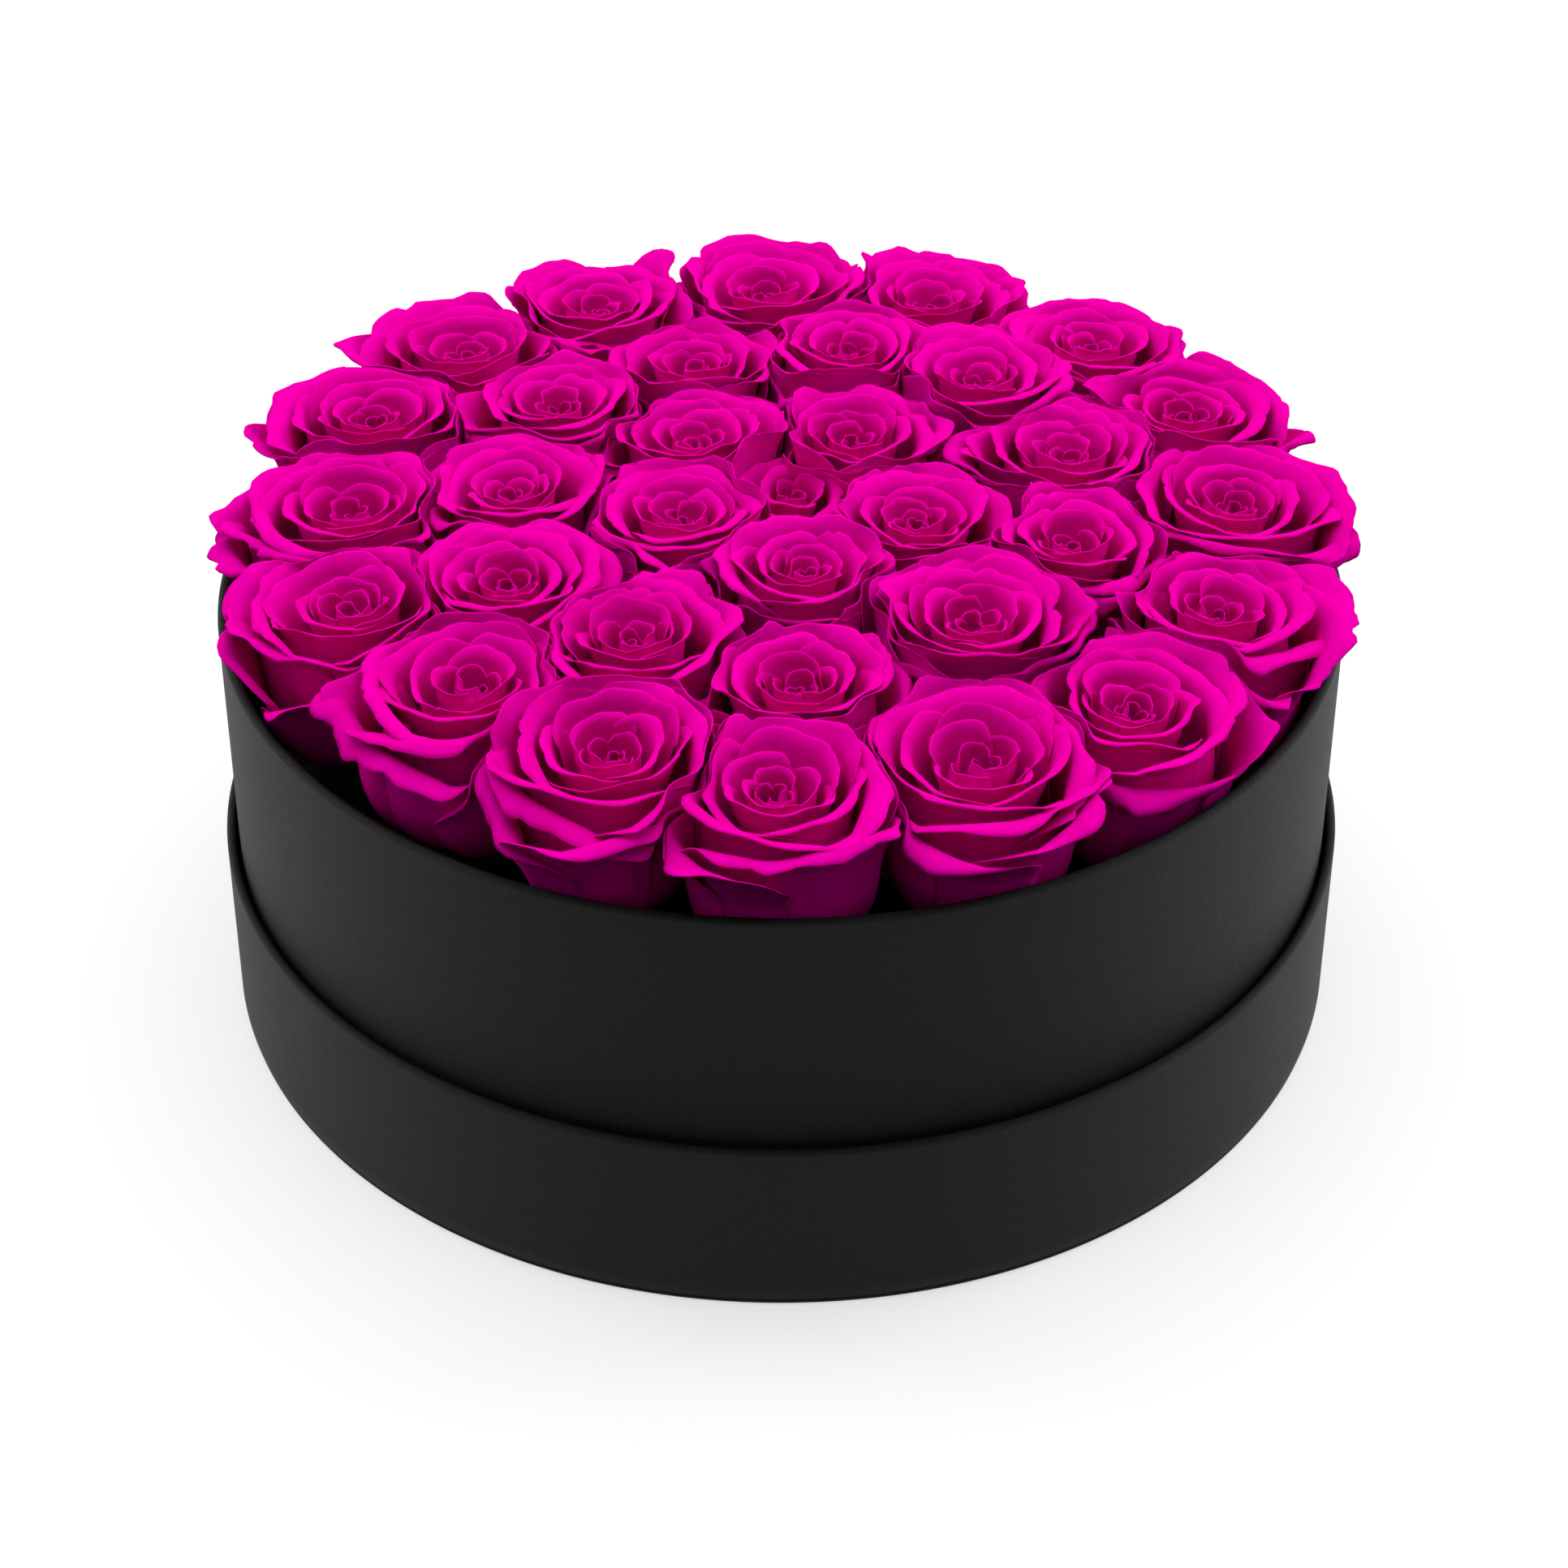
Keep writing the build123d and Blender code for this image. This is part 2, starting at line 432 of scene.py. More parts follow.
def wrapped_disc(name, node, body, margin):
    """Disc paper: out along the underside, half round the edge, in by margin, and back inside."""
    low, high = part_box(node)
    middle = (low.z + high.z) / 2
    half = (high.z - low.z) / 2

    def path(inset):
        turn = np.linspace(-math.pi / 2, math.pi / 2, 9)
        out = np.linspace(0, high.x - half, 24)[:-1]
        back_in = np.linspace(high.x - half, high.x - margin, 4)[1:]
        radius = [out, high.x - half + (half - inset) * np.cos(turn), back_in]
        height = [low.z + inset + 0 * out, middle + (half - inset) * np.sin(turn)]
        height.append(high.z - inset + 0 * back_in)
        return np.stack([np.concatenate(radius), np.concatenate(height)], -1)

    mesh = turned(name, np.concatenate([path(0), path(PAPER)[::-1]]), flat_uv=True)
    print(name, "faces", len(mesh.polygons))
    return add_piece(mesh, body, paper, "embossed_paper", node)


wrapped_disc("lid_disc_paper", "lid_disc_wrap", "lid", DISC_TURN_IN)
wrapped_disc("box_base_paper", "box_base_wrap", "box", DISC_TURN_IN)

# %% [markdown]
# ## Boards and linings
#
# The boards and the plain linings are simple tubes and discs, and the solid model already has them
# right. They keep their meshes and only take on paper and board.

# %% Boards and linings
def dress(finish, slot, *names):
    """Gives CAD nodes a finish, and prints the slot's name with how many nodes took it."""
    for name in names:
        nodes[name].data.materials.clear()
        nodes[name].data.materials.append(finish)
    print(slot, "on", len(names), "nodes")


dress(board, "board", "lid_disc_board", "lid_rim_board", "box_base_board", "box_wall_board")
dress(lining, "lining_paper", "lid_lining_wall", "lid_lining_disc", "box_lining_wall", "box_lining_floor")

# %% [markdown]
# ## Dry foam
#
# Dry floral foam is a brittle, fine-pored block, dyed dark so that it disappears between the
# blooms. A knife leaves its side and its edges slightly crumbled. The disc is one profile carried
# round the axis, then pushed inwards there by a few sine waves, and its pores are in the finish.

# %% Foam finish
FOAM_CELLS = 900  # in a metre


def dry_foam():
    """Dark foam, lighter on the walls of its cells than in its pits, under a little dust."""
    finish = Finish("dry_foam", Roughness=1.0, Specular_IOR_Level=0.1)
    where = finish.place()
    cells = finish.node("TexVoronoi", {"feature": "F1"}, {"Vector": where, "Scale": FOAM_CELLS})
    pits = finish.noise(where, 260, 5, 0.7)
    dust = finish.noise(where, 60, 3)
    depth = cells.part(0.1, 0.7) * 0.5 + pits.part(0.35, 0.65) * 0.5
    dark = finish.blend(dust, (0.008, 0.007, 0.005), (0.018, 0.016, 0.012))
    finish.set(Base_Color=finish.blend(depth, dark, (0.034, 0.030, 0.024)))
    finish.set(Normal=finish.bump(depth, 0.0006))
    return finish.material


foam_finish = dry_foam()
print("foam cells per centimetre", FOAM_CELLS // 100)

# %% Foam disc
CHAMFER = 1.6 * MM
CRUMBLE = 0.9 * MM
CRUMBLE_BAND = 4 * MM  # from the side inwards
CRUMBLE_WAVES = ((17, 0.3), (29, 1.7), (53, 2.9), (88, 0.8), (141, 4.4))  # (waves round, phase)


def foam_disc():
    """A disc with chamfered edges and a ragged side.

    Points near the side move inwards by CRUMBLE times the size of a sum of sines of the angle, each
    divided by the root of its number of waves: at most 0.7 mm. The faces move towards each other.
    """
    low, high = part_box("foam_block")
    out = np.linspace(0, high.x - CHAMFER, 40)
    up = np.linspace(low.z + CHAMFER, high.z - CHAMFER, 30)
    radius = np.concatenate([out, high.x + 0 * up, out[::-1]])
    height = np.concatenate([low.z + 0 * out, up, high.z + 0 * out])
    angle = np.linspace(0, 2 * math.pi, SEGMENTS, endpoint=False)
    near_edge = np.exp(-((radius - high.x) / CRUMBLE_BAND) ** 2)
    crumble = 0
    for wave, phase in CRUMBLE_WAVES:
        row_phase = phase * np.arange(len(radius))
        crumble = crumble + np.sin(wave * angle[None, :] + row_phase[:, None]) / math.sqrt(wave)
    crumble = -CRUMBLE * np.abs(crumble) * near_edge[:, None]
    r = radius[:, None] + crumble
    middle = (high.z + low.z) / 2
    inwards = np.sign(middle - height)[:, None]
    on_face = (np.abs(height - middle) > (high.z - low.z) / 2 - 1e-6)[:, None]
    z = height[:, None] - inwards * crumble * on_face
    points = np.stack([r * np.cos(angle), r * np.sin(angle), z], -1).reshape(-1, 3)
    quads, _ = grid(len(radius), SEGMENTS, round_columns=True)
    mesh = new_mesh("foam_disc", points, quads)
    close_poles(mesh)
    return add_piece(mesh, "arrangement", foam_finish, "dry_foam", "foam_block")


foam = foam_disc()
print("foam faces", len(foam.data.polygons))

# %% [markdown]
# ## Where each rose sits
#
# Every bloom of the solid model is a plain cup with a flat round foot. The foot's centre and the
# way its flat face points give the rose its place and its lean, and the cup's widest point how far
# it may open. Reading them off the mesh keeps the petals in step with the solid model.

# %% Read the blooms
FOOT_BAND = 2.1  # mm above a cup's lowest point in which only the rim of its foot lies


def mesh_points(node):
    """A CAD node's points in millimetres, each once."""
    points = np.empty(3 * len(node.data.vertices), np.float32)
    node.data.vertices.foreach_get("co", points)
    return np.unique(np.round(points.reshape(-1, 3) / MM, 3), axis=0)


def rose_seat(node):
    """Foot, upward direction, greatest half width and length of a bloom, in millimetres.

    The direction is the normal of the flat foot: the singular vector of its points that they
    spread least along. The half width is the largest distance of any point from that axis.
    """
    points = mesh_points(node)
    rim = points[points[:, 2] < points[:, 2].min() + FOOT_BAND]
    foot = rim.mean(axis=0)
    direction = np.linalg.svd(rim - foot)[2][2]
    direction = direction * np.sign(direction[2])
    offset = points - foot
    height = offset @ direction
    half_width = np.linalg.norm(offset - np.outer(height, direction), axis=1).max()
    return foot, direction, half_width, height.max()


rose_names = sorted(name for name in nodes if name.startswith(("rose_outer", "rose_middle", "rose_inner")))
rose_names.append("rose_centre")
seats = {name: rose_seat(nodes[name]) for name in rose_names}
widths = [round(seat[2], 1) for seat in seats.values()]
print("roses", len(seats), "half widths", min(widths), "to", max(widths))

# %% [markdown]
# ## One petal
#
# A rose petal starts narrow at the foot, swells out and up, and ends in a lip that rolls outwards.
# In the plane through the rose's axis that is a cubic curve followed by a curl; across the petal,
# the same curve is swung round the axis over the petal's span. What changes from the heart of the
# rose to its outermost petal is only a handful of numbers, read off short lists of stops.
#
# A surface of this kind is far easier to steer than a sculpted petal: the lists say how far out,
# how high, how wide and how rolled each petal is. Chance adds the rest: waves, corners, kinks and
# nicks, which grow from the heart outwards, because the outer petals are the worn ones.

# %% Petal stops
# (rank, value) stops, with rank 0 for the heart of the rose and 1 for its outermost petal
LIP_RADIUS = ((0, 0.09), (0.1, 0.16), (0.25, 0.28), (0.45, 0.47), (0.65, 0.69), (0.82, 0.86), (1, 1.0))
LIP_HEIGHT = ((0, 0.84), (0.15, 0.87), (0.3, 0.905), (0.5, 0.935), (0.7, 0.945), (0.88, 0.93), (1, 0.88))
HALF_SPAN = ((0, 130), (0.1, 112), (0.25, 104), (0.5, 100), (0.75, 92), (1, 80))  # degrees
LIP_ANGLE = ((0, 120), (0.25, 98), (0.5, 80), (0.7, 68), (0.85, 58), (1, 48))  # degrees, before the roll
ROLL = ((0, 25), (0.2, 40), (0.35, 54), (0.55, 66), (0.8, 76), (1, 92))  # degrees
ROLL_LENGTH = ((0, 1.0), (0.2, 1.8), (0.4, 3.2), (0.6, 4.6), (0.8, 5.8), (1, 7.2))  # mm
DEPTH = ((0, 9), (0.3, 14), (0.5, 22), (0.65, 32), (0.78, 46), (1, 42))  # mm from the lip to the foot
SHOULDER = ((0, 0.06), (0.3, 0.10), (0.6, 0.18), (1, 0.26))  # how much lower the petal is at its sides
WAVE = ((0, 0.003), (0.5, 0.008), (1, 0.018))
CORNER = ((0, 0.004), (0.4, 0.014), (1, 0.03))
FOOT_SPAN = ((0, 1), (0.5, 0.95), (0.8, 0.8), (1, 0.55))  # share of the span at the foot
FLATNESS = ((0, 0), (0.3, 0.1), (0.6, 0.22), (1, 0.3))
SPIRAL = ((0, 0.7), (0.3, 1.0), (0.6, 1.4), (1, 1.6))  # mm that one side stands further out
RIPPLE = ((0, 0.1), (0.4, 0.35), (0.75, 0.7), (0.9, 1.4), (1, 2.0))  # mm at the lip
OWN_CENTRE = ((0, 0.45), (0.2, 0.40), (0.45, 0.2), (0.8, 0.06), (1, 0))  # share of the lip's radius
TILT = ((0, 0.5), (0.4, 0.9), (0.8, 2.0), (0.9, 5.0), (1, 9.0))  # mm that one side stands higher

print("a petal's lip rolls over by", ROLL[0][1], "degrees in the heart,", ROLL[-1][1], "outermost")

# %% Petal outline
def mix(low, high, share):
    """low where share is 0, high where it is 1, and evenly between."""
    return low + (high - low) * share


def at_rank(rank, stops):
    """A value read off (rank, value) stops joined by straight lines."""
    ranks, values = zip(*stops)
    return float(np.interp(rank, ranks, values))


def petal_outline(rng, rank, across):
    """How far up its curve the petal's body reaches at each place across it, about 1.

    One, less a shoulder that grows with the distance from the middle, plus one slow wave and a
    few corners, which are peaks of the form exp(-distance / width).
    """
    top = 1 - at_rank(rank, SHOULDER) * np.abs(across) ** 4
    top = top + at_rank(rank, WAVE) * np.sin(2 * math.pi * across + rng.uniform(0, 2 * math.pi))
    corner = at_rank(rank, CORNER)
    for place in rng.uniform(-0.8, 0.8, 3):
        top = top + corner * rng.uniform(-1, 1.3) * np.exp(-np.abs(across - place) / 0.14)
    return top


def torn_lip(rng, rank, across):
    """How wide the rolled lip is at each place across the petal, about 1.

    It narrows with the fourth power of the distance from the middle. Three waves and a few sharp
    corners, which grow with rank, are added, and on an outer petal a few narrow nicks are cut out.
    """
    width = 1 - 0.65 * across ** 4
    for size, turns in (0.14, 1.7), (0.07, 5.3), (0.03, 10.9):
        width = width + size * rank * np.sin(turns * math.pi * across + rng.uniform(0, 2 * math.pi))
    for place in rng.uniform(-0.8, 0.8, 3 + int(4 * rank)):
        peak = np.exp(-np.abs(across - place) / rng.uniform(0.05, 0.14))
        width = width + 0.4 * rank * rng.uniform(-0.7, 1) * peak
    for place in rng.uniform(-0.85, 0.85, rng.integers(1, 5) if rank > 0.5 else 0):
        width = width - rng.uniform(0.1, 0.35) * np.exp(-(((across - place) / 0.035) ** 2))
    return width


print("an outline in the heart is lowered at its sides by", at_rank(0, SHOULDER))

# %% Petal shape
FOOT_RADIUS = 6.0  # mm, of the ring that the outer petals grow from


def cubic(start, near, far, end, share):
    """Point on a cubic Bezier curve, for each coordinate.

    The weights are (1 - s)^3, 3 s (1 - s)^2, 3 s^2 (1 - s) and s^3, where s is the share.
    """
    rest = 1 - share
    weights = rest ** 3, 3 * share * rest ** 2, 3 * share ** 2 * rest, share ** 3
    return tuple(
        weights[0] * start[i] + weights[1] * near[i] + weights[2] * far[i] + weights[3] * end[i]
        for i in range(2)
    )


def body_curve(rank, lip_radius, lip_height, lip_angle, roll_length, share):
    """(radius, height) a share of the way from a petal's foot to the start of its roll.

    A cubic curve that leaves the foot outwards on an outer petal, upwards on an inner one, and
    arrives at the lip at the lip's angle.
    """
    foot_radius = mix(0.55 * lip_radius, FOOT_RADIUS, np.clip((rank - 0.45) / 0.3, 0, 1))
    foot = (foot_radius, max(lip_height - at_rank(rank, DEPTH), 1.5))
    end = (lip_radius, lip_height - 0.35 * roll_length * math.sin(lip_angle))
    reach = math.dist(foot, end)
    lean_out = (0.52, 0.06) if rank > 0.55 else (0.15, 0.30)
    near = (foot[0] + reach * lean_out[0], foot[1] + reach * lean_out[1])
    far = (end[0] - 0.38 * reach * math.cos(lip_angle), end[1] - 0.38 * reach * math.sin(lip_angle))
    return cubic(foot, near, far, end, share)


def rolled(rng, rank, across, roll, roll_length, rows, before, body):
    """(radius, height) of the body's rows and, after them, the rolled lip's.

    The lip is a walk in short steps. Its heading starts as the body's last one, which is found from
    the curve just before its end, and turns by roll * t ** 0.9, with t from 0 to 1 along the lip.
    """
    radius, height = body
    heading = np.arctan2(height[-1:] - before[1], radius[-1:] - before[0])
    along_roll = np.linspace(0, 1, rows + 1)[1:, None]
    uneven = (1 + 0.3 * rng.uniform(-1, 1) * across) * (1 - rng.uniform(0.4, 0.9) * across ** 4)
    angle = heading - roll * uneven * along_roll ** 0.9
    step = roll_length * torn_lip(rng, rank, across) / rows
    radius = np.concatenate([radius, radius[-1:] + np.cumsum(np.cos(angle) * step, axis=0)])
    height = np.concatenate([height, height[-1:] + np.cumsum(np.sin(angle) * step, axis=0)])
    return radius, height


def rippled(rng, rank, across, along, radius, height):
    """Radius and height with three waves across the petal and five sharp kinks.

    The waves grow with the third power of the way along the petal, and the kinks with the fifth
    power on top of that, so both are nearly all at the lip.
    """
    ripple = at_rank(rank, RIPPLE) * along ** 3
    phase = rng.uniform(0, 2 * math.pi, 3)
    radius = radius + ripple * np.sin(2.2 * math.pi * across + phase[0])
    radius = radius + 0.4 * ripple * np.sin(5.1 * math.pi * across + phase[1])
    height = height + 0.6 * ripple * along * np.sin(3.2 * math.pi * across + phase[2])
    for place in rng.uniform(-0.85, 0.85, 5):
        kink = np.exp(-np.abs(across - place) / 0.09) * along ** 5
        radius = radius + 0.8 * ripple * rng.uniform(-1, 1) * kink
        height = height + 0.8 * ripple * rng.uniform(-1, 1) * kink
    return radius, height


def petal(rng, rank, azimuth, half_width, length):
    """Grid of points of one petal in the rose's own frame, and how near each is to the edge.

    Rows follow the body's curve and the roll. Across the petal they are swung round the axis by
    span * across, less at the foot, and pulled out by a share of 1 / cos(swing) - 1, which makes
    the petal flatter than a cylinder. Petals near the heart turn round a centre of their own.
    """
    lip_radius = half_width * at_rank(rank, LIP_RADIUS)
    lip_height = length * at_rank(rank, LIP_HEIGHT)
    span = math.radians(at_rank(rank, HALF_SPAN))
    lip_angle = math.radians(at_rank(rank, LIP_ANGLE))
    roll = math.radians(at_rank(rank, ROLL))
    roll_length = at_rank(rank, ROLL_LENGTH)
    lip_radius *= rng.uniform(0.95, 1.05)
    lip_height += rng.uniform(-0.6, 0.6) + (rank > 0.8) * rng.uniform(-4.0, 1.0)
    roll *= rng.uniform(0.6, 1.4)
    roll_length *= rng.uniform(0.75, 1.25)
    span *= rng.uniform(0.9, 1.1)

    across = np.linspace(-1, 1, int(19 + 30 * rank))[None, :]
    body_rows = int(7 + 7 * rank)
    roll_rows = int(3 + 4 * rank)
    top = petal_outline(rng, rank, across)
    curve = rank, lip_radius, lip_height, lip_angle, roll_length
    body = body_curve(*curve, np.linspace(0, 1, body_rows)[:, None] * top)
    before = body_curve(*curve, top - 0.01)
    radius, height = rolled(rng, rank, across, roll, roll_length, roll_rows, before, body)

    along = np.linspace(0, 1, body_rows + roll_rows)[:, None]
    body = np.minimum(along * (body_rows + roll_rows) / body_rows, 1)
    swing = span * across * mix(at_rank(rank, FOOT_SPAN), 1, np.sin(0.5 * math.pi * body))
    swing = swing + math.radians(rng.uniform(-6, 6)) * along
    pulled = 1 / np.cos(np.clip(swing, -1.05, 1.05)) - 1
    radius = radius * (1 + at_rank(rank, FLATNESS) * pulled * body)
    radius = radius + at_rank(rank, SPIRAL) * across * body
    radius, height = rippled(rng, rank, across, along, radius, height)
    own_centre = lip_radius * at_rank(rank, OWN_CENTRE) * body
    radius = np.maximum(radius - own_centre, 0.2)
    height = height + at_rank(rank, TILT) * rng.uniform(-1, 1) * across * body
    x = radius * np.cos(azimuth + swing) + own_centre * math.cos(azimuth)
    y = radius * np.sin(azimuth + swing) + own_centre * math.sin(azimuth)
    return np.stack([x, y, height + 0 * swing], -1), along ** 2 + 0 * swing


sample, _ = petal(np.random.default_rng(1), 1, 0, 27, 50)
print("an outermost petal has", sample.shape[0], "rows of", sample.shape[1], "points")

# %% [markdown]
# ## A whole rose
#
# Petals grow in a spiral: each one starts about 137.5 degrees on from the last, and sits a little
# further out. That one rule gives the overlapping rings that we read as a rose. The first few make
# the tight scroll in the heart, the last few are the guard petals that droop. Chance sets how open
# each rose is, which way it turns, and where its heart sits.

# %% Rose shape
GOLDEN_ANGLE = math.radians(137.5)
HEART_SHIFT = 1.6  # mm that the heart may sit off the axis
HEART_LEAN = 1.3  # mm, the usual sideways lean of the heart at the height of the lip


def rose_shape(seed, half_width, length, petals):
    """Points, quads, UV and attributes of all the petals of one rose, in its own frame.

    A petal's rank is its share of the way from the heart outwards, to the power of the opening.
    """
    rng = np.random.default_rng(seed)
    azimuth = rng.uniform(0, 2 * math.pi)
    handed = rng.choice([-1, 1])
    heart = rng.uniform(-HEART_SHIFT, HEART_SHIFT, 2)
    opening = rng.uniform(0.85, 1.2)
    leaning = rng.normal(0, HEART_LEAN, 2)
    parts = {"points": [], "quads": [], "uv": [], "edge": [], "tint": [], "guard": []}
    count = 0
    for number in range(petals):  # from the heart outwards
        rank = (number / (petals - 1)) ** opening
        azimuth += GOLDEN_ANGLE + rng.uniform(-0.2, 0.2)
        points, edge = petal(rng, rank, azimuth, half_width, length)
        points[..., :2] += heart * (1 - rank) ** 2 + rng.normal(0, 0.6, 2) * (1 - rank)
        points[..., :2] += leaning * (points[..., 2:] / length) ** 2
        points[..., 1] *= handed
        rows, columns = edge.shape
        quads, corner = grid(rows, columns)
        parts["points"].append(points.reshape(-1, 3))
        parts["quads"].append(quads + count)
        parts["uv"].append(corner[..., ::-1] / (columns - 1, rows - 1) + (number, 0))
        parts["edge"].append(edge.ravel())
        parts["tint"].append(np.full(edge.size, rng.uniform(0, 1)))
        parts["guard"].append(np.full(edge.size, rank))
        count += edge.size
    return {name: np.concatenate(part) for name, part in parts.items()}

# %% [markdown]
# ## Pressed together
#
# The roses are packed so tightly that they aren't round any more. Where a rose meets a neighbour,
# a wall between them is as far as its petals may go: the last fifth of the way there is squeezed
# with an exponential. That wall isn't flat. It is wavy, and it leans, so that one rose lies over the
# other. The box wall does the same below the rim, while petals above the rim are free to lean out
# over it, and the roses along the wall sag a few millimetres towards it.

# %% Pressing
CROWD_FROM = 0.8  # share of the way to the wall from which petals are squeezed
BULGE = 2.0  # mm of wave in the wall between two roses
OVERLAP = 0.25  # mm that this wall leans sideways for each mm of height
PIVOT = 12  # mm above the box's rim where a leaning wall is at its middle
LEAN_LOW, LEAN_HIGH = -12, 10  # mm from the pivot where it stops leaning
SAG = 6  # mm
SAG_LOW, SAG_BAND = 4, 15  # mm below the rim where the sag is largest, and how far up and down it goes
AT_THE_WALL = 100  # mm from the axis beyond which a rose stands along the wall
WALL_GAP = 1.2  # mm
FLARE = 0.8  # mm that petals may lean out for each mm above the rim
EASE = 8  # mm before the box wall in which petals ease towards it
inside_box = (box_high.x - BOX_WALL) / MM - WALL_GAP
rim_height = box_high.z / MM


def crowd(reach, room):
    """reach as it is up to CROWD_FROM of the room, then an exponential that nears the whole room."""
    share = reach / room
    rest = 1 - CROWD_FROM
    eased = 1 - rest * np.exp(-(np.maximum(share, CROWD_FROM) - CROWD_FROM) / rest)
    return np.where(share > CROWD_FROM, eased * room, reach)


def contact(points, lip, apart, toward):
    """How far the wall towards a neighbour is moved at each point, in mm.

    Two sines of the distance sideways make it wavy and a share of the height makes it lean. Its
    phase comes from the sum of the two roses' places, so that both get the same wall.
    """
    side = 1 if toward[0] > 0 else -1
    sideways = (points - lip) @ np.array([-toward[1], toward[0], 0]) * side
    phase = 0.7 * (lip[0] + lip[0] + apart[0]) + 1.3 * (2 * lip[1] + apart[1])
    bulge = np.sin(sideways / 6 + phase) + 0.6 * np.sin(sideways / 2.9 + 2 * phase)
    lean = math.copysign(OVERLAP, math.sin(5 * phase))
    leaning = lean * np.clip(points[:, 2] - rim_height - PIVOT, LEAN_LOW, LEAN_HIGH)
    return side * (BULGE * bulge + leaning)


def boxed(points, from_axis, half_width):
    """Points kept inside the box wall, and above its rim inside a cone that widens by FLARE.

    On a rose along the wall, the outer side is first moved outwards by a bell curve of the height.
    """
    radius = np.hypot(points[:, 0], points[:, 1])
    outer_side = np.clip((radius - from_axis) / half_width, 0, 1)
    bell = np.exp(-(((points[:, 2] - rim_height + SAG_LOW) / SAG_BAND) ** 2))
    sag = SAG * (from_axis > AT_THE_WALL) * outer_side * bell
    points[:, :2] *= (1 + sag / radius)[:, None]
    radius = radius + sag
    limit = inside_box + FLARE * np.maximum(points[:, 2] - rim_height, 0)
    slack = np.maximum(radius - (limit - EASE), 0)
    eased = np.where(slack > 0, limit - EASE * np.exp(-slack / EASE), radius)
    points[:, :2] *= (eased / radius)[:, None]
    return points


def pressed(points, seat, others):
    """Points of one rose in millimetres, squeezed by its neighbours and by the box.

    A neighbour's wall is a share of the distance to it, in the ratio of the two half widths.
    """
    foot, direction, half_width, length = seat
    lip = foot + direction * length
    for other_foot, other_direction, other_width, other_length in others:
        apart = other_foot + other_direction * other_length - lip
        apart[2] = 0
        distance = np.linalg.norm(apart)
        if not 0 < distance < half_width + other_width + 4:
            continue
        toward = apart / distance
        room = distance * half_width / (half_width + other_width)
        reach = (points - lip) @ toward
        eased = crowd(reach, room + contact(points, lip, apart, toward))
        points = points + (eased - reach)[:, None] * toward
    return boxed(points, np.hypot(lip[0], lip[1]), half_width)


print("petals stay within", round(inside_box, 1), "mm of the axis up to", round(rim_height, 1), "mm")

# %% [markdown]
# ## Petal finish
#
# Preserved roses are dyed right through, so a petal has no gloss at all: it is a deep, velvety pink
# that glows where light bounces between two petals. The shader is nearly all base colour, and that
# colour carries painted light: painted shade makes it deep at the foot of a petal, it is painted
# brighter and redder where the petal folds over, for the light bounced in the shade there, and it is
# painted duller on the rolled lip, where the top light falls strongest, with a lighter line at the very
# edge. Each petal has its own slight tint, the outermost ones are duller, and faint veins fan out
# along the length as a worn colour and a small bump.

# %% Petal material
def petal_finish():
    """Matt pink from the petal's own attributes: how near the edge, its tint, and its rank."""
    finish = Finish("dyed_petals", Roughness=1.0, Specular_IOR_Level=0.0)
    across, along = finish.surface()
    edge = finish.node("Attribute", {"attribute_name": "edge"}, output="Fac")
    tint = finish.node("Attribute", {"attribute_name": "tint"}, output="Fac")
    guard = finish.node("Attribute", {"attribute_name": "guard"}, output="Fac")
    where = finish.node("CombineXYZ", inputs={"X": across * 26, "Y": along * 2.5})
    veins = finish.noise(where, 1, 3, 0.55)
    cloud = finish.noise(finish.place(), 140, 2)
    # Painted light: the lip colour is a duller pink to tone down the top light where it falls strongest,
    # and the fold colour is brighter and redder, as painted light bounced in the shade between petals.
    lip = finish.blend(tint, (0.67, 0.0, 0.305), (0.74, 0.0, 0.35))
    fold = finish.blend(tint, (0.76, 0.0, 0.325), (0.83, 0.0, 0.37))
    # Painted shade: the deep red at the foot of each petal, where it lies in the shade of its neighbours,
    # blends into the dyed pink towards the lip.
    base = finish.blend(edge.part(0.02, 0.36), (0.48, 0.0, 0.18), fold)
    dye_and_painted_shade = finish.blend(edge.part(0.22, 0.6), base, lip)
    worn = finish.blend(veins.part(0.35, 0.75) * 0.45 + cloud * 0.2, dye_and_painted_shade, (0.68, 0.0, 0.28))
    aged = finish.blend(guard.part(0.72, 1.0) * 0.5, worn, (0.64, 0.0, 0.31))
    finish.set(Base_Color=finish.blend(edge.part(0.88, 1.0) * 0.2, aged, (0.84, 0.001, 0.42)))
    finish.set(Normal=finish.bump(veins * 0.7 + cloud * 0.3, 0.0004))
    return finish.material


petals_pink = petal_finish()
print("petal finish nodes", len(petals_pink.node_tree.nodes))

# %% Build the roses
PETALS = 19
CENTRE_PETALS = 14  # the small rose in the middle
PETAL_THICKNESS = 0.32 * MM
FIRST_SEED = 100


def upright_frame(direction):
    """Three rows: two directions square to the given one, and that one."""
    side = np.cross(direction, (0, 1, 0))
    side = side / np.linalg.norm(side)
    return np.stack([side, np.cross(direction, side), direction])


def add_rose(name, seed):
    """Builds one rose in the place of its CAD bloom, and returns how many faces it has."""
    foot, direction, half_width, length = seats[name]
    petals = PETALS if name != "rose_centre" else CENTRE_PETALS
    parts = rose_shape(seed, half_width, length, petals)
    points = parts["points"] @ upright_frame(direction) + foot
    points = pressed(points, seats[name], [seat for other, seat in seats.items() if other != name])
    values = {"edge": parts["edge"], "tint": parts["tint"], "guard": parts["guard"]}
    mesh = new_mesh(name + "_petals", points * MM, parts["quads"], parts["uv"], values)
    piece = add_piece(mesh, "arrangement", petals_pink, "petals", name)
    body = piece.modifiers.new("petal thickness", "SOLIDIFY")
    body.thickness = PETAL_THICKNESS
    body.offset = 0
    body.use_rim = True
    return len(mesh.polygons)


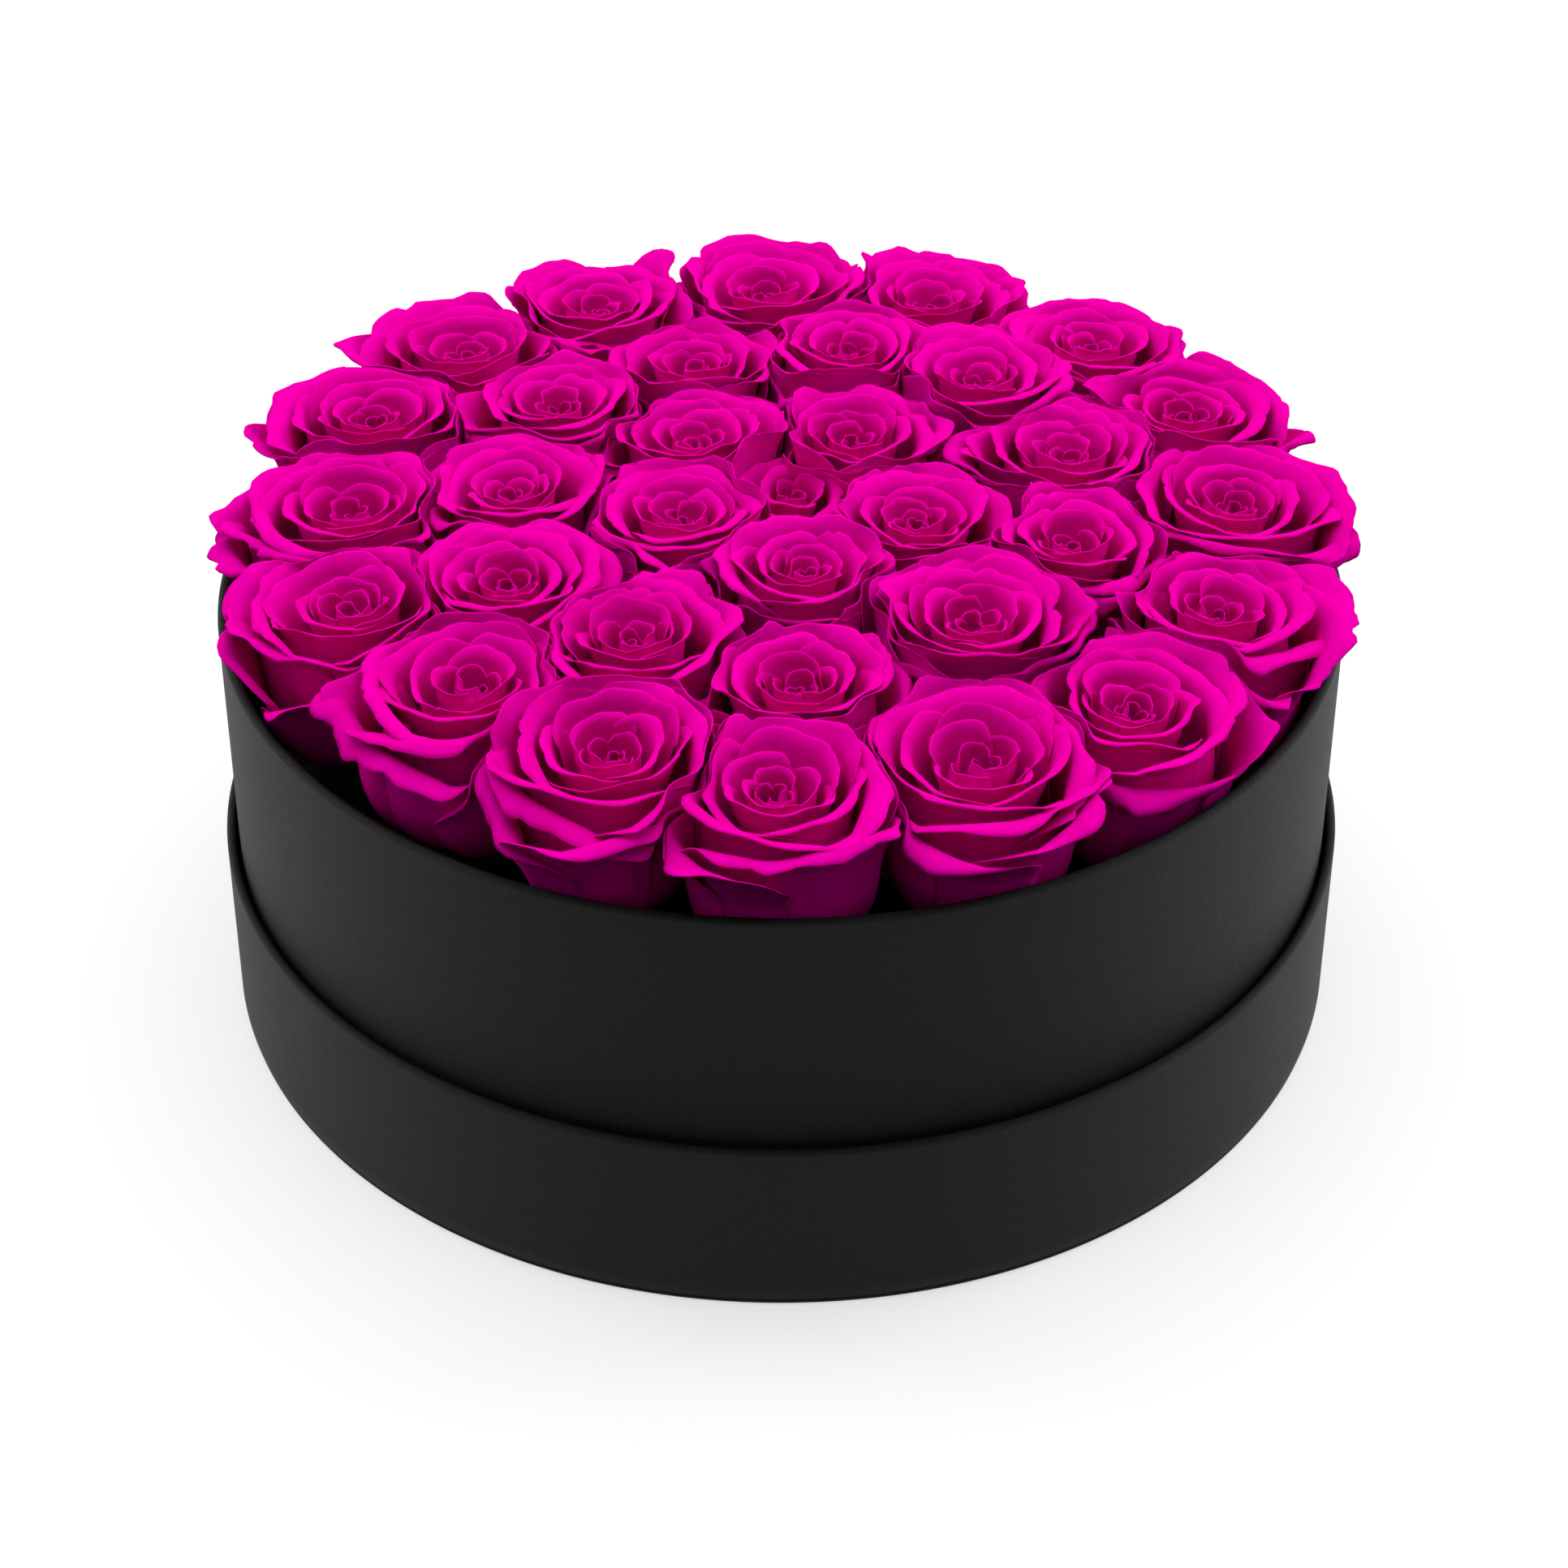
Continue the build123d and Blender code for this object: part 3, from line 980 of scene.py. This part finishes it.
faces = [add_rose(name, FIRST_SEED + number) for number, name in enumerate(rose_names)]
print("rose faces", sum(faces), "most in one", max(faces))

# %% [markdown]
# ## Calyxes and stems
#
# Under each bloom is the green hip with its five sepals, and below that a short cut stem in the
# foam. They show when the arrangement is lifted out. A hip and a stem are profiles carried round
# the rose's axis; a sepal is a narrow curved blade. One piece holds a whole ring of them, as in the
# solid model.

# %% Green finishes
def green(name, dark, light, streaks_scale):
    """A green between dark and light, with dry brown patches."""
    finish = Finish(name, Specular_IOR_Level=0.2)
    where = finish.place()
    streaks = finish.noise(where, streaks_scale, 4, 0.6)
    dry = finish.noise(where, 90, 2).part(0.55, 0.7)
    fresh = finish.blend(streaks, dark, light)
    finish.set(Base_Color=finish.blend(dry * 0.6, fresh, (0.17, 0.13, 0.06)))
    finish.set(Roughness=0.75 + 0.2 * streaks)
    finish.set(Normal=finish.bump(streaks, 0.0003))
    return finish.material


calyx_green = green("calyx_green", (0.035, 0.06, 0.018), (0.09, 0.12, 0.04), 500)
stem_green = green("stem_green", (0.08, 0.10, 0.04), (0.20, 0.21, 0.10), 350)
print("greens", calyx_green.name, stem_green.name)

# %% Calyx and stem shapes
HIP = [(0, 0.2), (3, 0.3), (5.3, 0), (5.7, -0.8), (5.2, -2.2), (4.5, -3.8), (3.2, -5.2), (2.5, -6), (0, -6)]
HIP_BOTTOM = -6  # mm from the bloom's foot
STEM_BOTTOM = -51
SEPALS = 5
SEPAL_THICKNESS = 0.4 * MM
GREEN_SEED = 700


def spun(profile, columns=16):
    """A profile of (radius, height) from pole to pole, carried round the axis."""
    profile = np.array(profile, float)
    angle = np.linspace(0, 2 * math.pi, columns, endpoint=False)
    ring = profile[:, :1, None] * np.stack([np.cos(angle), np.sin(angle)])[None]
    height = profile[:, 1, None] + 0 * angle
    points = np.stack([ring[:, 0], ring[:, 1], height], -1)
    return points.reshape(-1, 3), grid(len(profile), columns, round_columns=True)[0]


def sepal(azimuth, droop, rng):
    """A blade that leaves the hip outwards and curls down: an arc in the plane through the axis.

    Its half width is a skewed arch of its length, and it is cupped along its middle.
    """
    along = np.linspace(0, 1, 9)[:, None]
    side = np.linspace(-1, 1, 5)[None, :]
    size = rng.uniform(11, 14)
    angle = droop * along ** 1.2
    radius = 5.2 + size * along * np.cos(angle)
    height = -0.6 - size * along * np.sin(angle) * 0.8
    width = 2.7 * np.sin(math.pi * (0.18 + 0.82 * along)) ** 0.8 * (1 - along ** 6) + 0.08
    offset = side * width
    height = height + 0.5 * side ** 2 * (1 - along) + 0 * offset
    radius = radius + 0 * offset
    x = radius * np.cos(azimuth) - offset * np.sin(azimuth)
    y = radius * np.sin(azimuth) + offset * np.cos(azimuth)
    return np.stack([x, y, height], -1).reshape(-1, 3), grid(9, 5)[0]


def green_ring(ring, kind, finish, slot, shapes, thickness=None):
    """One piece with the shapes of every rose of a ring, each placed at its rose's foot."""
    points = []
    quads = []
    count = 0
    for number, name in enumerate(rose_names):
        if ring not in name and not (ring == "inner" and name == "rose_centre"):
            continue
        foot, direction, _, _ = seats[name]
        for own, faces in shapes(np.random.default_rng(GREEN_SEED + number)):
            points.append(own @ upright_frame(direction) + foot)
            quads.append(faces + count)
            count += len(own)
    mesh = new_mesh(f"rose_{kind}_{ring}_group", np.concatenate(points) * MM, np.concatenate(quads))
    close_poles(mesh)
    stands_for = () if kind == "sepals" else (f"rose_{kind}_{ring}",)
    piece = add_piece(mesh, "arrangement", finish, slot, *stands_for)
    if thickness:
        sheet = piece.modifiers.new("blade thickness", "SOLIDIFY")
        sheet.thickness = thickness
        sheet.offset = 0
    return len(mesh.polygons)


def hips(_):
    """The hip under a bloom, from its domed top down to the stem."""
    return [spun(HIP)]


def sepals(rng):
    """Five blades a fifth of a turn apart, each with its own droop."""
    start = rng.uniform(0, 2 * math.pi)
    step = 2 * math.pi / SEPALS
    return [sepal(start + turn * step, rng.uniform(1.0, 1.6), rng) for turn in range(SEPALS)]


def stems(rng):
    """A rod that tapers slightly, with a slow sine of the height for its swellings."""
    heights = np.linspace(HIP_BOTTOM, STEM_BOTTOM, 12)
    swell = 2.45 + 0.12 * np.sin(heights * 0.35 + rng.uniform(0, 6)) - 0.004 * (-heights - 6)
    return [spun([(0, -5.9), *zip(swell, heights), (0, STEM_BOTTOM)], 14)]


for ring in ("outer", "middle", "inner"):
    print(
        ring,
        green_ring(ring, "calyxes", calyx_green, "calyx_green", hips),
        green_ring(ring, "sepals", calyx_green, "calyx_green", sepals, SEPAL_THICKNESS),
        green_ring(ring, "stems", stem_green, "stem_green", stems),
    )

# %% [markdown]
# ## Floor and light
#
# The box stands on a plain white floor that runs off to white. Most of the light is one large soft
# box above and a little behind, so that the blooms' faces are bright and the wall under them falls
# into shade. Two tall soft boxes at the sides, behind the box, graze its left and right edges. The
# room itself glows too, most from above and behind and not at all from below, while the camera
# sees plain white in its place. The floor gives a little light of its own, so that it stays white
# without brighter lamps.

# %% Floor
FLOOR_HALF = 8.0
floor_corners = [(FLOOR_HALF * x, FLOOR_HALF * y, 0) for x, y in ((-1, -1), (1, -1), (1, 1), (-1, 1))]
floor_mesh = bpy.data.meshes.new("floor")
floor_mesh.from_pydata(floor_corners, [], [(0, 1, 2, 3)])
floor = bpy.data.objects.new("floor", floor_mesh)
bpy.context.scene.collection.objects.link(floor)
white = Finish("white_floor", Base_Color=(0.45, 0.45, 0.45), Roughness=0.9, Specular_IOR_Level=0.0)
white.set(Emission_Color=(1, 1, 1), Emission_Strength=0.53)
floor_mesh.materials.append(white.material)
floor.visible_diffuse = False
print("floor", 2 * FLOOR_HALF, "m wide")

# %% Lights
def soft_box(name, place, target, width, height, power):
    """A rectangular area light at place that faces target."""
    lamp = bpy.data.lights.new(name, "AREA")
    lamp.shape = "RECTANGLE"
    lamp.size = width
    lamp.size_y = height
    lamp.energy = power
    light = bpy.data.objects.new(name, lamp)
    light.location = place
    light.rotation_euler = (Vector(target) - Vector(place)).to_track_quat("-Z", "Y").to_euler()
    bpy.context.scene.collection.objects.link(light)


bloom_height = (0, 0, 0.12)
soft_box("top", (0, 0.12, 1.6), bloom_height, 1.7, 1.7, 13.5)
soft_box("left", (-1.3, 0.5, 0.5), bloom_height, 0.6, 1.2, 8)
soft_box("right", (1.3, 0.5, 0.5), bloom_height, 0.6, 1.2, 10)
world = bpy.data.worlds.new("studio")
room = Graph(world)
view = room.node("TexCoord", output="Generated")
upwards = room.node("SeparateXYZ", inputs={"Vector": view}, output="Z")
backwards = room.node("SeparateXYZ", inputs={"Vector": view}, output="Y")
background = room.tree.nodes["Background"]
glow = (upwards + backwards * 0.3).part(-0.35, 1.0) * 0.95
seen = room.node("LightPath", output="Is Camera Ray")
room.fill(background.inputs["Color"], (1, 1, 1))
room.fill(background.inputs["Strength"], glow + seen * (1 - glow))
bpy.context.scene.world = world
bpy.context.scene.view_settings.view_transform = "Standard"

# %% [markdown]
# ## Petals past the cups
#
# Petals may lean a little past the solid cups.
